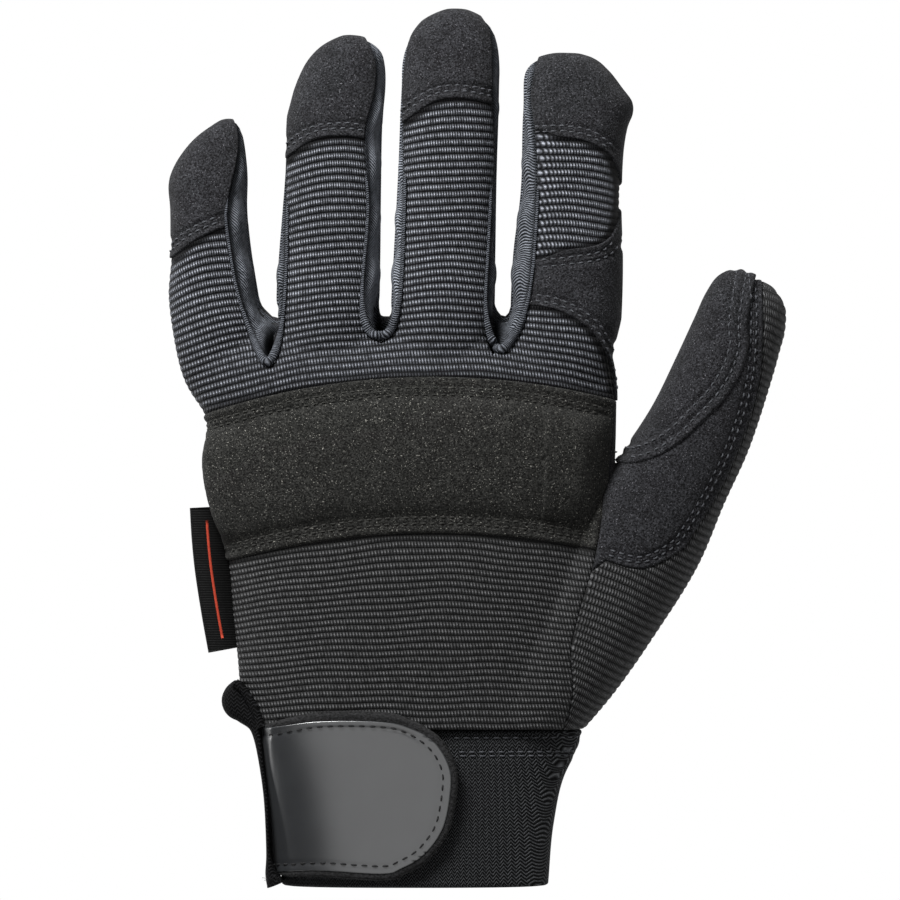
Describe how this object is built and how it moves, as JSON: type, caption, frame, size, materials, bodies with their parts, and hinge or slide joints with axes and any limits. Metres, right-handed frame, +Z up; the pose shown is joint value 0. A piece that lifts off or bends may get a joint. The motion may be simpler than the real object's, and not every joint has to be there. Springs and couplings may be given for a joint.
{
  "type": "left-hand grip work glove",
  "caption": "Left work glove lying palm down: ribbed back, padded knuckle band, suede tips, elastic cuff with a hook-and-loop tab.",
  "frame": {"origin": "middle of the glove's outline on the surface that it lies on, palm down", "axes": "+Y towards the fingertips, +X towards the thumb, +Z up through the back of the hand"},
  "size_m": [0.1728, 0.2508, 0.0371],
  "materials": {
    "suede": "black synthetic suede with a short nap",
    "rib_fabric": "corded rib knit, charcoal",
    "twill": "bluish charcoal twill",
    "elastic": "black woven elastic",
    "hook_loop": "black hook-and-loop tape with a fuzzy edge",
    "gloss_patch": "smooth grey moulded rubber, satin gloss",
    "ribbon": "black folded ribbon, bare"
  },
  "bodies": {
    "root": {"back_panel_upper": "rib_fabric", "knuckle_pad": "suede", "back_panel_lower": "rib_fabric", "little_tip_cap": "suede", "ring_tip_cap": "suede", "middle_tip_cap": "suede", "index_wrap": "suede", "index_rib_window": "rib_fabric", "fourchette_little_ring": "twill", "fourchette_ring_middle": "twill", "fourchette_middle_index": "twill", "palm": "suede", "thumb_palm": "suede", "thumb_back": "suede", "thumb_patch": "suede", "thumb_side_gusset": "rib_fabric", "cuff": "elastic", "strap": "hook_loop", "strap_patch": "gloss_patch", "side_fold": "elastic", "side_label": "ribbon"}
  },
  "joints": []
}
